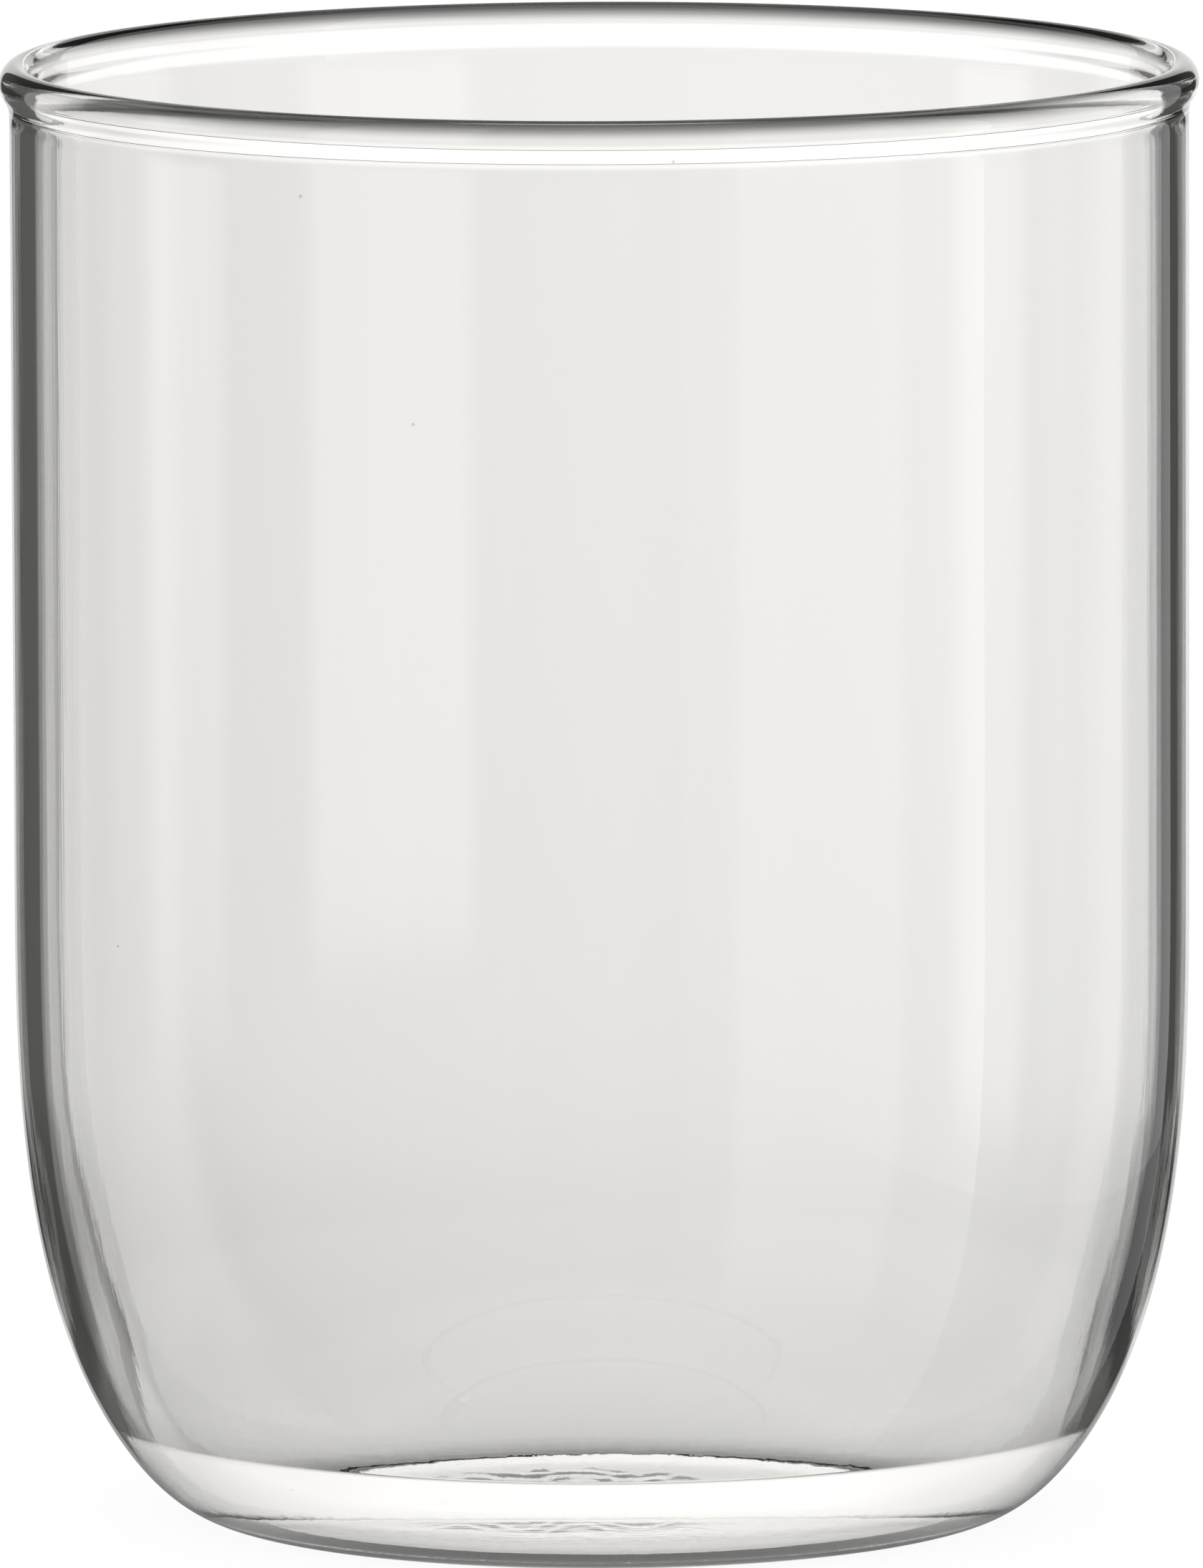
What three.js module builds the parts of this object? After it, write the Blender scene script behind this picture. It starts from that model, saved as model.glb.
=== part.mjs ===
// A clear drinking tumbler, in millimetres, standing on z = 0 with its axis along +Z.
// The real glass is one piece. It is given as the five zones in which it is formed, from the closed
// base up to the fire-polished rim, and each zone meets the next on one flat ring.
import * as THREE from "three";

// Driving dimensions
const wallRadius = 40; // outside of the straight wall
const wallThickness = 1.8;
const crestHeight = 99.1; // top of the rim
const heelHeight = 44.4; // where the heel's curve has become the straight wall
const lowerWallStart = 12; // where the tight round of the heel ends
const footRadius = 27.2; // edge of the flat underside
const floorRadius = 27.6; // edge of the floor inside
const floorHeight = 0.6; // at that edge, where the glass is thinnest
const moundRadius = 27; // the base is pushed up in its middle: a soft mound inside
const moundRise = 2.1;
const hollowRadius = 23; // and a shallow hollow underneath
const hollowDepth = 1.9;

// The heel is a superellipse: the first power shapes its start at the foot, the second its end in the wall
const outerHeelPowers = { foot: 1.53, wall: 3.1 };
const innerHeelPowers = { foot: 1.32, wall: 2.73 };

// Rim bead: an ellipse in section, blended into the wall
const rimDepth = 4.4; // from the crest down to the straight wall
const beadHalfWidth = 1.15;
const beadHalfHeight = 1.4;
const beadOverhang = 0.68; // how far the bead stands out from the wall
const beadNeckAngle = THREE.MathUtils.degToRad(-35); // where the bead turns into its neck, outside

// Facets
const turnSteps = 72;
const heelSteps = 6;
const baseSteps = 4;
const rimSteps = 6;

// Derived dimensions
const innerRadius = wallRadius - wallThickness;
const rimStart = crestHeight - rimDepth;
const beadRadius = wallRadius + beadOverhang - beadHalfWidth;
const beadHeight = crestHeight - beadHalfHeight;

const outerHeel = {
  foot: new THREE.Vector2(footRadius, 0),
  wall: new THREE.Vector2(wallRadius, heelHeight),
  powers: outerHeelPowers,
};
const innerHeel = {
  foot: new THREE.Vector2(floorRadius, floorHeight),
  wall: new THREE.Vector2(innerRadius, heelHeight),
  powers: innerHeelPowers,
};

// The superellipse's parameter at a height, from 0 at the foot to a quarter turn at the wall
function heelTurn(heel, height) {
  const heightLeft = (heel.wall.y - height) / (heel.wall.y - heel.foot.y);
  return Math.acos(heightLeft ** (heel.powers.wall / 2));
}

// Points on a heel curve between two heights, lowest first
function heelPoints(heel, low, high, steps) {
  const first = heelTurn(heel, low);
  const last = heelTurn(heel, high);
  const points = [];
  for (let step = 0; step <= steps; step += 1) {
    const turn = THREE.MathUtils.lerp(first, last, step / steps);
    const outward = Math.sin(turn) ** (2 / heel.powers.foot);
    const upward = 1 - Math.cos(turn) ** (2 / heel.powers.wall);
    points.push(new THREE.Vector2(
      THREE.MathUtils.lerp(heel.foot.x, heel.wall.x, outward),
      THREE.MathUtils.lerp(heel.foot.y, heel.wall.y, upward),
    ));
  }
  points[0].y = low;
  points[steps].y = high;
  return points;
}

// A soft swelling about the axis, from its edge to its top: half a wave of a cosine
function swelling(radius, edgeHeight, rise) {
  const points = [];
  for (let step = 0; step <= baseSteps; step += 1) {
    const inward = step / baseSteps;
    const height = edgeHeight + rise * (1 - Math.cos(Math.PI * inward)) / 2;
    points.push(new THREE.Vector2(radius * (1 - inward), height));
  }
  return points;
}

// The base: hollow underside, flat foot, start of the heel outside, floor and mound inside
function baseOutline() {
  return [
    ...swelling(hollowRadius, 0, hollowDepth).reverse(),
    ...heelPoints(outerHeel, 0, floorHeight, baseSteps),
    new THREE.Vector2(floorRadius, floorHeight),
    ...swelling(moundRadius, floorHeight, moundRise),
  ];
}

// A ring of the heel between two heights, from its inner foot round to its start again
function heelOutline(low, high) {
  const outside = heelPoints(outerHeel, low, high, heelSteps);
  const inside = heelPoints(innerHeel, low, high, heelSteps).reverse();
  return [...outside, ...inside, outside[0]];
}

// The straight tube between the heel and the rim
function wallOutline() {
  return [
    new THREE.Vector2(innerRadius, heelHeight),
    new THREE.Vector2(wallRadius, heelHeight),
    new THREE.Vector2(wallRadius, rimStart),
    new THREE.Vector2(innerRadius, rimStart),
    new THREE.Vector2(innerRadius, heelHeight),
  ];
}

// The rim: the wall runs up into a neck, round the bead over the crest, and down the flared inside
function rimOutline() {
  const neckTop = new THREE.Vector2(
    beadRadius + beadHalfWidth * Math.cos(beadNeckAngle),
    beadHeight + beadHalfHeight * Math.sin(beadNeckAngle),
  );
  const neckSlope = new THREE.Vector2(
    -beadHalfWidth * Math.sin(beadNeckAngle),
    beadHalfHeight * Math.cos(beadNeckAngle),
  ).normalize();
  const neckReach = (neckTop.y - rimStart) / 2;
  const neckHandle = neckTop.clone().addScaledVector(neckSlope, -neckReach);
  const beadInside = beadRadius - beadHalfWidth;
  const flareReach = (beadHeight - rimStart) / 2;

  const outline = new THREE.Path();
  outline.moveTo(innerRadius, rimStart);
  outline.lineTo(wallRadius, rimStart);
  outline.bezierCurveTo(wallRadius, rimStart + neckReach, neckHandle.x, neckHandle.y, neckTop.x, neckTop.y);
  outline.absellipse(beadRadius, beadHeight, beadHalfWidth, beadHalfHeight, beadNeckAngle, Math.PI, false);
  outline.bezierCurveTo(
    beadInside, beadHeight - flareReach,
    innerRadius, rimStart + flareReach,
    innerRadius, rimStart,
  );
  return outline.getPoints(rimSteps);
}

// Turns an outline of radius and height about +Z into one mesh of clear glass
function turned(name, outline) {
  const geometry = new THREE.LatheGeometry(outline, turnSteps);
  geometry.rotateX(Math.PI / 2);
  const glass = new THREE.MeshStandardMaterial({
    color: 0xeef1ef,
    roughness: 0.04,
    metalness: 0,
    transparent: true,
    opacity: 0.35,
  });
  const mesh = new THREE.Mesh(geometry, glass);
  mesh.name = name;
  return mesh;
}

const waterGlass = new THREE.Group();
waterGlass.add(
  turned("base", baseOutline()),
  turned("heel", heelOutline(floorHeight, lowerWallStart)),
  turned("lower_wall", heelOutline(lowerWallStart, heelHeight)),
  turned("side_wall", wallOutline()),
  turned("rim_bead", rimOutline()),
);

export default waterGlass;
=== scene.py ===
"""A clear drinking tumbler in a plain white studio. Lengths are in metres, +Z is up."""
import math

import bpy
import numpy as np
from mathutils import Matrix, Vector


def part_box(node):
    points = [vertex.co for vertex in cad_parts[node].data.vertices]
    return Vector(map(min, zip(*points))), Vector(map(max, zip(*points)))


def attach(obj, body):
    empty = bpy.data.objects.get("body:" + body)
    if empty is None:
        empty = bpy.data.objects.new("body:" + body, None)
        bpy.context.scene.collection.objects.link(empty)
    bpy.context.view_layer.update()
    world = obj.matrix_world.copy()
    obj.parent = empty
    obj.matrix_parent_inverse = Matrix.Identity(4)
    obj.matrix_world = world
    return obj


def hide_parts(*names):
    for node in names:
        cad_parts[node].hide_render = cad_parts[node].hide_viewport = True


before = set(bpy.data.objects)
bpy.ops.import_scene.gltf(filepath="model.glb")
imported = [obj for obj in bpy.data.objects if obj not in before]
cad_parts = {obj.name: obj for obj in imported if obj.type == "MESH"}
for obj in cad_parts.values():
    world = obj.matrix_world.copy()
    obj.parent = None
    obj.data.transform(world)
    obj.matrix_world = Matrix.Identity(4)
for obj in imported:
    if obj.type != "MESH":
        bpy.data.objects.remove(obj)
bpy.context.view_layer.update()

MM = 0.001
WHITE = (1, 1, 1, 1)

# Sizes that the frame gives
WALL_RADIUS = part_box("side_wall")[1].x
RIM_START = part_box("rim_bead")[0].z
CREST_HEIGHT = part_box("rim_bead")[1].z
BEAD_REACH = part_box("rim_bead")[1].x
HEEL_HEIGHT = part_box("lower_wall")[1].z

# Sizes of the turned glass that the frame's boxes don't give
WALL_THICKNESS = 1.8 * MM
INNER_RADIUS = WALL_RADIUS - WALL_THICKNESS
FOOT_RADIUS = 27.2 * MM
HEEL_POWERS = (1.53, 3.1)  # at the foot, in the wall
FOOT_THICKNESS = 0.53 * MM
BASE_THICKNESS = 1.02 * MM
MOUND_RADIUS = 26.9 * MM
MOUND_RISE = 1.32 * MM
MOUND_POWER = 6.8  # the higher, the broader the mound's top
BEAD_HALF_WIDTH = 1.15 * MM
BEAD_HALF_HEIGHT = 1.4 * MM
BEAD_NECK_ANGLE = math.radians(-35)

# The heel's thickness by the height of its outside: thin at the foot, a crease, a slow swell, then the wall.
# The crease goes round the front and fades towards the back, over this span of the turn's sine.
CREASE_HEIGHT = 6.1 * MM
CREASE_THICKNESS = 1.72 * MM
CREASE_POWER = 1.54
CREASE_FADE = (-0.4, 0.2)
SWELL_HEIGHT = 14 * MM
SWELL_THICKNESS = 2.05 * MM
SWELL_END = 30 * MM

# Ripples about the middle of the floor inside. They end and are full at these shares of the half sizes.
# Each is a length along Y, a sway, the sway's length along X and its start, with lengths in millimetres.
RIPPLE_HEIGHT = 0.022 * MM
RIPPLE_MIDDLE = -2.6
RIPPLE_HALF_WIDTH = 13
RIPPLE_HALF_DEPTH = 13
RIPPLE_FADE = (1, 0.5)
RIPPLES = ((2.7, 2.6, 7.1, 0), (4.1, 2.1, 5.3, 1.2), (3.3, 3.0, 9.7, 2.5))

# Points along each stretch of the section, and round the turn
HOLLOW_STEPS = 30
FOOT_STEPS = 5
HEEL_STEPS = 112
WALL_STEPS = 10
NECK_STEPS = 20
CREST_STEPS = 56
MOUND_STEPS = 64
TURN_STEPS = 420

# Surface of the glass
GLASS_IOR = 1.47
GLASS_TINT = (0.999, 0.998, 0.994, 1)
RELIEF_DEPTH = 0.004 * MM
RELIEF_DETAIL = 3
DRAW_LINE_SCALE = 700
DRAW_LINE_STRETCH = (1, 1, 0.02)
STREAK_SCALE = 500
STREAK_STRETCH = (0.06, 0.06, 1)
STREAK_TOP = 45 * MM
STREAK_FULL = 20 * MM
DUST_SCALE = 90
DUST_SIZE = 0.012
DUST_COLOUR = (0.55, 0.52, 0.48, 1)

# Camera, fitted to the outline in the photograph
IMAGE_SIZE = (1680, 2190)
SENSOR = 36.0
CAMERA_DISTANCE = 1.6
CAMERA_ELEVATION = math.radians(7.69)
CAMERA_PIVOT_HEIGHT = 48 * MM
CAMERA_AIM_HEIGHT = 49.56 * MM
CAMERA_ROLL = math.radians(0.2)
CAMERA_CLIP_END = 30
PIXELS_PER_METRE = 20512

# Light round the glass. Azimuths turn from +Y, behind the glass, towards +X, in degrees. Each card reaches
# from its left to its right edge, each with a softness, and stands in front of the cards before it.
ROOM_COLOUR = (1, 0.992, 0.974, 1)
ROOM_LIGHT = 0.16
CARDS = (
    ("left_card", -54, -32, 9, 1, 0.7),
    ("right_card", 32, 80, 1, 6, 0.88),
    ("left_flag", -35.5, -11, 1, 1, 0.1),
    ("right_flag", 13, 35.5, 1, 1, 0.075),
    ("backdrop", -11.5, 14, 0.8, 1.2, 0.92),
    ("backdrop_left", -11.5, -2, 0.8, 3.5, 0.825),
)

# How the light of every card changes with elevation, in degrees
HEIGHT_LIGHT = (
    (-42, 0.12), (-30, 0.3), (-23, 0.5), (-17, 0.75), (-14, 0.86), (-10.5, 1.0), (-9, 1.04), (-5, 1.04),
    (-2, 1.22), (9, 1.28), (13, 0.98), (42, 0.98),
)
CEILING_EDGE = (40, 56)
CEILING_LIGHT = 1.1

# White cards behind the glass in the side and back views, each before a wider flag: azimuth of the middle,
# half width, lowest and highest elevation, brightness
VIEW_CARDS = ((-42, 9, -33, -18, 0.9), (135, 18, -32, -5, 1.15), (-90, 10, -9, 3, 1.0))
VIEW_CARD_SOFT = 3
VIEW_FLAG_HALF = 32
VIEW_FLAG_LIGHT = 0.1

# The floor: white to the camera, and seen through the glass with a painted shadow that gathers round the
# foot and a painted glow under the foot
FLOOR_SIZE = 24.0
FLOOR_DROP = 0.2 * MM
FLOOR_COLOUR = (0.9, 0.9, 0.9, 1)
FLOOR_GLOW = 1.05
FLOOR_GLOW_SHARE = 0.88
UNDER_FOOT_LIGHT = 0.45
FOOT_FRONT_LIGHT = 0.15
FOOT_BACK_LIGHT = 0.33
FOOT_EDGE = 1 * MM
FOOT_EDGE_REACH = 13 * MM
FOOT_SHADE = 0.52  # share of the light that the shade takes at the foot
FOOT_SHADE_REACH = 32 * MM  # where half of that is left

# An upright window to the right of the glass, across X, that only shows as a reflection on its outside.
# Along Y it is brightest at an edge and dimmer behind it. Below the floor it stands in for the floor's glow.
WINDOW_TOP = 260 * MM
WINDOW_FOOT = -200 * MM
WINDOW_PLACE = 110 * MM
WINDOW_FRONT = -420 * MM
WINDOW_BACK = 110 * MM
WINDOW_BRIGHT_EDGE = -45 * MM
WINDOW_BRIGHT_LIGHT = 2.0
WINDOW_FADE = 30 * MM
WINDOW_FRONT_LIGHT = 0.35
WINDOW_BACK_LIGHT = 0.6
WINDOW_FLOOR_SHARE = 0.75


def superellipse(foot, wall, powers, steps):
    """Heel curve from foot to wall, each a (radius, height), as radii and heights."""
    turn = np.linspace(0, math.pi / 2, steps)
    outward = np.sin(turn) ** (2 / powers[0])
    upward = 1 - np.abs(np.cos(turn)) ** (2 / powers[1])
    return foot[0] + (wall[0] - foot[0]) * outward, foot[1] + (wall[1] - foot[1]) * upward


def bezier(points, steps):
    """Cubic curve whose ends and handles are four (radius, height) points."""
    t = np.linspace(0, 1, steps)
    weights = ((1 - t) ** 3, 3 * t * (1 - t) ** 2, 3 * t * t * (1 - t), t ** 3)
    radii = sum(w * p[0] for w, p in zip(weights, points))
    heights = sum(w * p[1] for w, p in zip(weights, points))
    return radii, heights


def straight(start, end, steps):
    return np.linspace(start[0], end[0], steps), np.linspace(start[1], end[1], steps)


def reversed_curve(curve):
    return curve[0][::-1], curve[1][::-1]


def smooth_step(values, low, high):
    share = np.clip((values - low) / (high - low), 0, 1)
    return share ** 2 * (3 - 2 * share)


def rim_curves():
    """The neck, the bead over the crest, and the flare down the inside."""
    bead = (BEAD_REACH - BEAD_HALF_WIDTH, CREST_HEIGHT - BEAD_HALF_HEIGHT)
    turn = np.linspace(BEAD_NECK_ANGLE, math.pi, CREST_STEPS)
    crest = (bead[0] + BEAD_HALF_WIDTH * np.cos(turn), bead[1] + BEAD_HALF_HEIGHT * np.sin(turn))
    neck_top = Vector((crest[0][0], crest[1][0]))
    slope = Vector((-BEAD_HALF_WIDTH * math.sin(BEAD_NECK_ANGLE),
                    BEAD_HALF_HEIGHT * math.cos(BEAD_NECK_ANGLE)))
    reach = (neck_top.y - RIM_START) / 2
    handle = neck_top - slope.normalized() * reach
    neck = bezier([(WALL_RADIUS, RIM_START), (WALL_RADIUS, RIM_START + reach), handle, neck_top], NECK_STEPS)
    inside = bead[0] - BEAD_HALF_WIDTH
    drop = (bead[1] - RIM_START) / 2
    flare = bezier([(inside, bead[1]), (inside, bead[1] - drop),
                    (INNER_RADIUS, RIM_START + drop), (INNER_RADIUS, RIM_START)], NECK_STEPS)
    return [neck, crest, flare]


def mound_heights(radii):
    """Heights of the floor inside, which rises from the foot's thickness to a broad top."""
    return FOOT_THICKNESS + MOUND_RISE * (1 - (radii / MOUND_RADIUS) ** MOUND_POWER) ** 2


def hollow_radius():
    """Where the underside, an even thickness below the floor, comes down to the table."""
    drop = math.sqrt((BASE_THICKNESS - FOOT_THICKNESS) / MOUND_RISE)
    return MOUND_RADIUS * (1 - drop) ** (1 / MOUND_POWER)


def swell_share(heights, start):
    """Quarter wave from 0 at the start to 1 at the thickest place."""
    return np.sin(math.pi / 2 * np.clip((heights - start) / (SWELL_HEIGHT - start), 0, 1))


def heel_thickness(heights, creased):
    if creased:
        up_to_crease = np.clip(heights / CREASE_HEIGHT, 0, 1) ** CREASE_POWER
        thickness = FOOT_THICKNESS + (CREASE_THICKNESS - FOOT_THICKNESS) * up_to_crease
        thickness += (SWELL_THICKNESS - CREASE_THICKNESS) * swell_share(heights, CREASE_HEIGHT)
    else:
        thickness = FOOT_THICKNESS + (SWELL_THICKNESS - FOOT_THICKNESS) * swell_share(heights, 0)
    return thickness + (WALL_THICKNESS - SWELL_THICKNESS) * smooth_step(heights, SWELL_HEIGHT, SWELL_END)


def inside_of(curve, creased):
    """The inner face of a heel curve, at its thickness along the outer normal."""
    slopes = np.gradient(np.stack(curve), axis=1)
    slopes[:, 0] = (1, 0)
    slopes /= np.linalg.norm(slopes, axis=0)
    thickness = heel_thickness(curve[1], creased)
    return curve[0] - slopes[1] * thickness, curve[1] + slopes[0] * thickness


def glass_outline(creased):
    """Radii and heights of the whole section, from under the base round to the floor inside."""
    outer_heel = superellipse((FOOT_RADIUS, 0), (WALL_RADIUS, HEEL_HEIGHT), HEEL_POWERS, HEEL_STEPS)
    under = np.linspace(0, hollow_radius(), HOLLOW_STEPS)
    floor = np.linspace(MOUND_RADIUS, 0, MOUND_STEPS)
    curves = [
        (under, mound_heights(under) - BASE_THICKNESS),
        straight((under[-1], 0), (FOOT_RADIUS, 0), FOOT_STEPS),
        outer_heel,
        straight((WALL_RADIUS, HEEL_HEIGHT), (WALL_RADIUS, RIM_START), WALL_STEPS),
        *rim_curves(),
        straight((INNER_RADIUS, RIM_START), (INNER_RADIUS, HEEL_HEIGHT), WALL_STEPS),
        reversed_curve(inside_of(outer_heel, creased)),
        (floor, mound_heights(floor)),
    ]
    radii = np.concatenate([curves[0][0]] + [c[0][1:] for c in curves[1:]])
    heights = np.concatenate([curves[0][1]] + [c[1][1:] for c in curves[1:]])
    return np.stack([radii, heights])


def floor_ripples(x, y):
    """Heights of the small uneven waves that forming left about the middle of the floor."""
    x, y = x / MM, y / MM
    outward = np.hypot((x - RIPPLE_MIDDLE) / RIPPLE_HALF_WIDTH, y / RIPPLE_HALF_DEPTH)
    heights = np.zeros_like(x)
    for length, sway, sway_length, start in RIPPLES:
        heights += np.sin(2 * math.pi * y / length + sway * np.sin(2 * math.pi * x / sway_length + start))
    return RIPPLE_HEIGHT * smooth_step(outward, *RIPPLE_FADE) * heights


def turned_mesh(name, front, back):
    """Closed mesh turned about +Z, from two outlines on the axis for the front and the back of the turn."""
    angles = np.linspace(0, 2 * math.pi, TURN_STEPS, endpoint=False)
    back_share = smooth_step(np.sin(angles), *CREASE_FADE)
    blend = front[:, 1:-1, None] + (back - front)[:, 1:-1, None] * back_share
    x = blend[0] * np.cos(angles)
    y = blend[0] * np.sin(angles)
    z = blend[1].copy()
    z[-MOUND_STEPS:] += floor_ripples(x[-MOUND_STEPS:], y[-MOUND_STEPS:])
    rings = np.stack([x, y, z], axis=-1).reshape(-1, 3)
    top = front[1, -1] + float(floor_ripples(np.zeros(1), np.zeros(1))[0])
    points = np.concatenate([rings, [[0, 0, front[1, 0]], [0, 0, top]]])
    count = len(x)
    low_pole, high_pole = count * TURN_STEPS, count * TURN_STEPS + 1
    faces = []
    for step in range(TURN_STEPS):
        after = (step + 1) % TURN_STEPS
        faces.append((low_pole, after, step))
        for ring in range(count - 1):
            low, high = ring * TURN_STEPS, (ring + 1) * TURN_STEPS
            faces.append((low + step, low + after, high + after, high + step))
        last = (count - 1) * TURN_STEPS
        faces.append((high_pole, last + step, last + after))
    mesh = bpy.data.meshes.new(name)
    mesh.from_pydata(points.tolist(), [], faces)
    mesh.shade_smooth()
    return mesh


class Nodes:
    """Short ways to add and join nodes in one tree."""

    def __init__(self, tree):
        self.tree = tree

    def put(self, socket, value):
        if isinstance(value, bpy.types.NodeSocket):
            self.tree.links.new(value, socket)
        else:
            socket.default_value = value

    def fill(self, sockets, values):
        for socket, value in zip(sockets, values):
            self.put(socket, value)

    def source(self, kind):
        """Outputs of a new node that needs no inputs."""
        return self.tree.nodes.new(kind).outputs

    def surface(self, kind, shader):
        """New output node that shows the shader."""
        self.put(self.tree.nodes.new(kind).inputs["Surface"], shader)

    def split(self, vector):
        """X, Y and Z of the vector."""
        node = self.tree.nodes.new("ShaderNodeSeparateXYZ")
        self.put(node.inputs[0], vector)
        return node.outputs

    def math(self, operation, *values):
        node = self.tree.nodes.new("ShaderNodeMath")
        node.operation = operation
        self.fill(node.inputs, values)
        return node.outputs[0]

    def ramp(self, value, low, high, at_low=0.0, at_high=1.0, course="SMOOTHSTEP"):
        """Smooth step of value from low to high, level beyond both."""
        node = self.tree.nodes.new("ShaderNodeMapRange")
        node.interpolation_type = course
        node.clamp = True
        self.fill(node.inputs, (value, low, high, at_low, at_high))
        return node.outputs["Result"]

    def line(self, value, low, high, at_low, at_high):
        """Straight ramp of value from low to high, level beyond both."""
        return self.ramp(value, low, high, at_low, at_high, "LINEAR")

    def mix(self, share, first, second, kind="FLOAT"):
        node = self.tree.nodes.new("ShaderNodeMix")
        node.data_type = kind
        for name, value in (("Factor", share), ("A", first), ("B", second)):
            self.put(node.inputs[name], value)
        return node.outputs["Result"]

    def glow(self, strength):
        node = self.tree.nodes.new("ShaderNodeEmission")
        self.put(node.inputs["Strength"], strength)
        return node.outputs[0]

    def blend(self, share, first, second):
        node = self.tree.nodes.new("ShaderNodeMixShader")
        self.fill(node.inputs, (share, first, second))
        return node.outputs[0]


def add_object(name, data):
    added = bpy.data.objects.new(name, data)
    bpy.context.scene.collection.objects.link(added)
    return added


def flat_sheet(name, corners, material):
    mesh = bpy.data.meshes.new(name)
    mesh.from_pydata(corners, [], [(0, 1, 2, 3)])
    mesh.materials.append(material)
    return add_object(name, mesh)


def bare_material(name):
    """New material with an empty node tree."""
    material = bpy.data.materials.new(name)
    material.use_nodes = True
    material.node_tree.nodes.clear()
    return material


def stretched_noise(n, place, stretch, scale):
    """Noise whose grains are drawn out along the axes with a small stretch factor."""
    scaled = n.tree.nodes.new("ShaderNodeVectorMath")
    scaled.operation = "MULTIPLY"
    n.fill(scaled.inputs, (place, stretch))
    noise = n.tree.nodes.new("ShaderNodeTexNoise")
    n.put(noise.inputs["Vector"], scaled.outputs[0])
    n.put(noise.inputs["Scale"], scale)
    n.put(noise.inputs["Detail"], RELIEF_DETAIL)
    return noise.outputs[0]


def clear_glass():
    """Clear glass with faint draw lines up the wall, level streaks low down, and a little dust."""
    material = bpy.data.materials.new("clear_glass")
    material.use_nodes = True
    n = Nodes(material.node_tree)
    shader = n.tree.nodes["Principled BSDF"]
    shader.inputs["Roughness"].default_value = 0
    shader.inputs["IOR"].default_value = GLASS_IOR
    shader.inputs["Transmission Weight"].default_value = 1

    place = n.source("ShaderNodeTexCoord")["Object"]
    draw_lines = stretched_noise(n, place, DRAW_LINE_STRETCH, DRAW_LINE_SCALE)
    level_streaks = stretched_noise(n, place, STREAK_STRETCH, STREAK_SCALE)
    low_down = n.ramp(n.split(place)["Z"], STREAK_TOP, STREAK_FULL)
    bump = n.tree.nodes.new("ShaderNodeBump")
    n.put(bump.inputs["Distance"], RELIEF_DEPTH)
    n.put(bump.inputs["Height"], n.math("MULTIPLY_ADD", level_streaks, low_down, draw_lines))
    n.put(shader.inputs["Normal"], bump.outputs[0])

    dust = n.tree.nodes.new("ShaderNodeTexVoronoi")
    n.put(dust.inputs["Vector"], place)
    n.put(dust.inputs["Scale"], DUST_SCALE)
    speck = n.math("LESS_THAN", dust.outputs["Distance"], DUST_SIZE)
    n.put(shader.inputs["Base Color"], n.mix(speck, GLASS_TINT, DUST_COLOUR, "RGBA"))
    return material


def make_tumbler():
    mesh = turned_mesh("tumbler", glass_outline(True), glass_outline(False))
    mesh.materials.append(clear_glass())
    tumbler = add_object("tumbler", mesh)
    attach(tumbler, "root")
    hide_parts("base", "heel", "lower_wall", "side_wall", "rim_bead")


def light_by_azimuth(n, azimuth):
    level = ROOM_LIGHT
    for _name, left, right, soft_left, soft_right, brightness in CARDS:
        middle = (left + right) / 2
        half = (right - left) / 2
        offset = n.math("WRAP", n.math("SUBTRACT", azimuth, middle), 180, -180)
        after_left = n.ramp(offset, -half - soft_left, -half + soft_left)
        before_right = n.ramp(offset, half - soft_right, half + soft_right, 1, 0)
        level = n.mix(n.math("MULTIPLY", after_left, before_right), level, brightness)
    return level


def light_by_height(n, elevation):
    """The curve through HEIGHT_LIGHT, with straight stretches between its points."""
    level = HEIGHT_LIGHT[0][1]
    for (low, at_low), (high, at_high) in zip(HEIGHT_LIGHT, HEIGHT_LIGHT[1:]):
        rise = n.line(elevation, low, high, 0, at_high - at_low)
        level = n.math("ADD", level, rise)
    return level


def view_cards(n, azimuth, elevation, level):
    """The level with the cards and flags of the other views in front of it."""
    for middle, card_half, low, high, card_light in VIEW_CARDS:
        offset = n.math("ABSOLUTE", n.math("WRAP", n.math("SUBTRACT", azimuth, middle), 180, -180))
        above = n.ramp(elevation, low - VIEW_CARD_SOFT, low + VIEW_CARD_SOFT)
        below = n.ramp(elevation, high - VIEW_CARD_SOFT, high + VIEW_CARD_SOFT, 1, 0)
        inside = n.math("MULTIPLY", above, below)
        for half, brightness in ((VIEW_FLAG_HALF, VIEW_FLAG_LIGHT), (card_half, card_light)):
            across = n.ramp(offset, half - VIEW_CARD_SOFT, half + VIEW_CARD_SOFT, 1, 0)
            level = n.mix(n.math("MULTIPLY", inside, across), level, brightness)
    return level


def make_world():
    world = bpy.data.worlds.new("studio")
    bpy.context.scene.world = world
    world.use_nodes = True
    world.node_tree.nodes.clear()
    n = Nodes(world.node_tree)
    x, y, z = n.split(n.source("ShaderNodeTexCoord")["Generated"])
    azimuth = n.math("DEGREES", n.math("ARCTAN2", x, y))
    elevation = n.math("DEGREES", n.math("ARCSINE", z))
    level = n.math("MULTIPLY", light_by_azimuth(n, azimuth), light_by_height(n, elevation))
    level = n.mix(n.ramp(elevation, *CEILING_EDGE), level, CEILING_LIGHT)
    level = view_cards(n, azimuth, elevation, level)
    path = n.source("ShaderNodeLightPath")
    plain = n.math("MAXIMUM", path["Is Camera Ray"], path["Is Diffuse Ray"])
    background = n.tree.nodes.new("ShaderNodeBackground")
    n.put(background.inputs["Color"], n.mix(plain, ROOM_COLOUR, WHITE, "RGBA"))
    n.put(background.inputs["Strength"], n.mix(plain, level, 1.0))
    n.surface("ShaderNodeOutputWorld", background.outputs[0])


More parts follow.
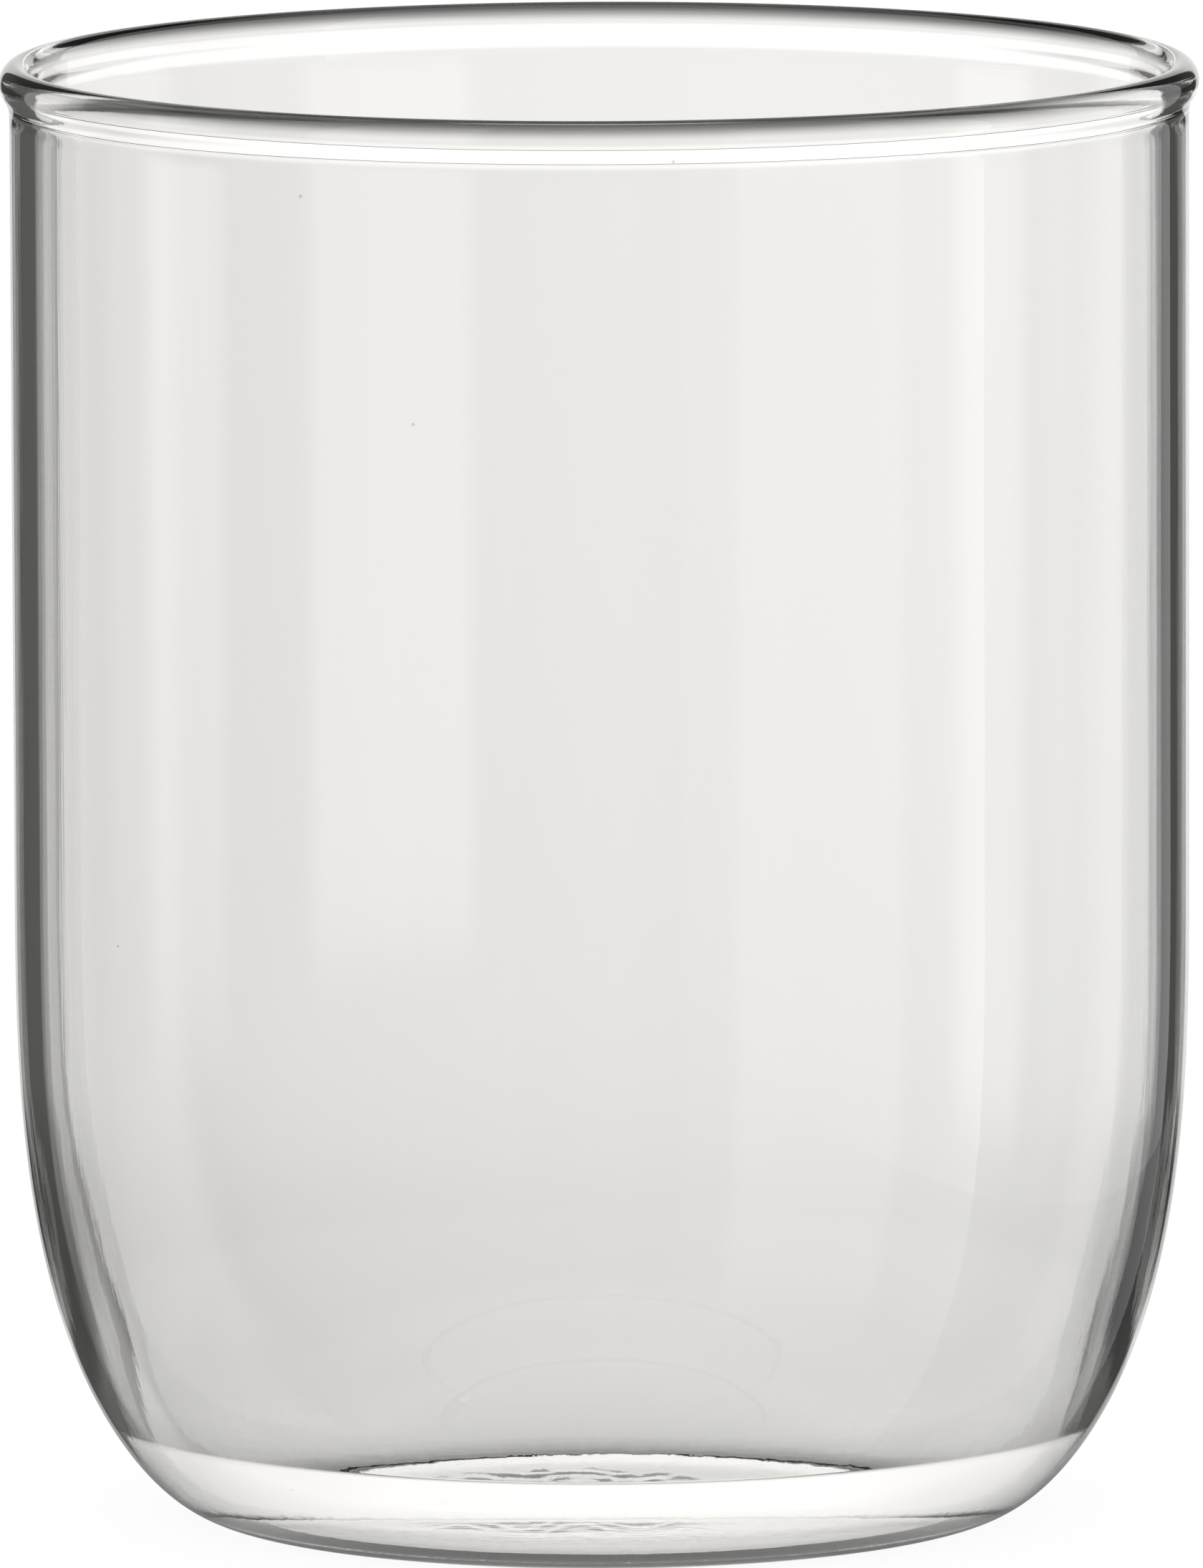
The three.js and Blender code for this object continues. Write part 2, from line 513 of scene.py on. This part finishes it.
def white_floor():
    material = bare_material("white_floor")
    n = Nodes(material.node_tree)
    paper = n.tree.nodes.new("ShaderNodeBsdfDiffuse")
    paper.inputs["Color"].default_value = FLOOR_COLOUR
    white = n.blend(FLOOR_GLOW_SHARE, paper.outputs[0], n.glow(FLOOR_GLOW))

    # Seen only through the glass: a painted shadow round the foot, darker at its front edge, over a painted
    # glow under the foot
    x, y, _z = n.split(n.source("ShaderNodeNewGeometry")["Position"])
    radius = n.math("SQRT", n.math("ADD", n.math("POWER", x, 2), n.math("POWER", y, 2)))
    away = n.math("MAXIMUM", n.math("SUBTRACT", radius, FOOT_RADIUS), 0)
    shade = n.math("DIVIDE", FOOT_SHADE, n.math("ADD", 1, n.math("DIVIDE", away, FOOT_SHADE_REACH)))
    clear = n.tree.nodes.new("ShaderNodeBsdfTransparent")
    n.put(clear.inputs["Color"], n.math("SUBTRACT", 1, shade))
    beside = n.line(y, -FOOT_RADIUS, FOOT_RADIUS, FOOT_FRONT_LIGHT, FOOT_BACK_LIGHT)
    near = n.mix(n.ramp(radius, FOOT_RADIUS - FOOT_EDGE, FOOT_RADIUS), UNDER_FOOT_LIGHT, beside)
    through = n.blend(n.ramp(away, 0, FOOT_EDGE_REACH), n.glow(near), clear.outputs[0])

    seen = n.blend(n.source("ShaderNodeLightPath")["Is Camera Ray"], through, white)
    n.surface("ShaderNodeOutputMaterial", seen)
    return material


def make_floor():
    half = FLOOR_SIZE / 2
    corners = [(x, y, -FLOOR_DROP) for x, y in ((-half, -half), (half, -half), (half, half), (-half, half))]
    floor = flat_sheet("floor", corners, white_floor())


def window_light(n, along, height):
    """Brightness of the window at a place along Y and a height."""
    past_edge = n.math("SUBTRACT", along, WINDOW_BRIGHT_EDGE)
    fading = n.math("EXPONENT", n.math("DIVIDE", past_edge, WINDOW_FADE))
    front = n.math("MULTIPLY_ADD", fading, WINDOW_BRIGHT_LIGHT - WINDOW_FRONT_LIGHT, WINDOW_FRONT_LIGHT)
    light = n.mix(n.math("GREATER_THAN", past_edge, 0), front, WINDOW_BACK_LIGHT)
    below = n.ramp(height, WINDOW_FOOT, 0, 0, WINDOW_FLOOR_SHARE)
    return n.math("MULTIPLY", light, n.mix(n.math("GREATER_THAN", height, 0), below, 1.0))


def make_window():
    material = bare_material("window")
    n = Nodes(material.node_tree)
    _x, y, z = n.split(n.source("ShaderNodeNewGeometry")["Position"])
    n.surface("ShaderNodeOutputMaterial", n.glow(window_light(n, y, z)))
    edges = ((WINDOW_FRONT, WINDOW_FOOT), (WINDOW_BACK, WINDOW_FOOT),
             (WINDOW_BACK, WINDOW_TOP), (WINDOW_FRONT, WINDOW_TOP))
    window = flat_sheet("window", [(WINDOW_PLACE, along, height) for along, height in edges], material)
    window.visible_camera = False
    window.visible_diffuse = False
    window.visible_shadow = False
    window.visible_transmission = False


def make_camera():
    data = bpy.data.cameras.new("camera")
    data.sensor_width = SENSOR
    data.lens = PIXELS_PER_METRE * CAMERA_DISTANCE * SENSOR / max(IMAGE_SIZE)
    data.clip_end = CAMERA_CLIP_END
    camera = add_object("camera", data)
    reach = CAMERA_DISTANCE * math.cos(CAMERA_ELEVATION)
    rise = CAMERA_DISTANCE * math.sin(CAMERA_ELEVATION)
    camera.location = (0, -reach, CAMERA_PIVOT_HEIGHT + rise)
    gaze = Vector((0, 0, CAMERA_AIM_HEIGHT)) - camera.location
    camera.rotation_euler = gaze.to_track_quat("-Z", "Y").to_euler()
    camera.rotation_euler.rotate_axis("Z", -CAMERA_ROLL)
    bpy.context.scene.camera = camera


make_camera()
make_world()
make_floor()
make_window()
make_tumbler()
bpy.context.scene.view_settings.view_transform = "Standard"
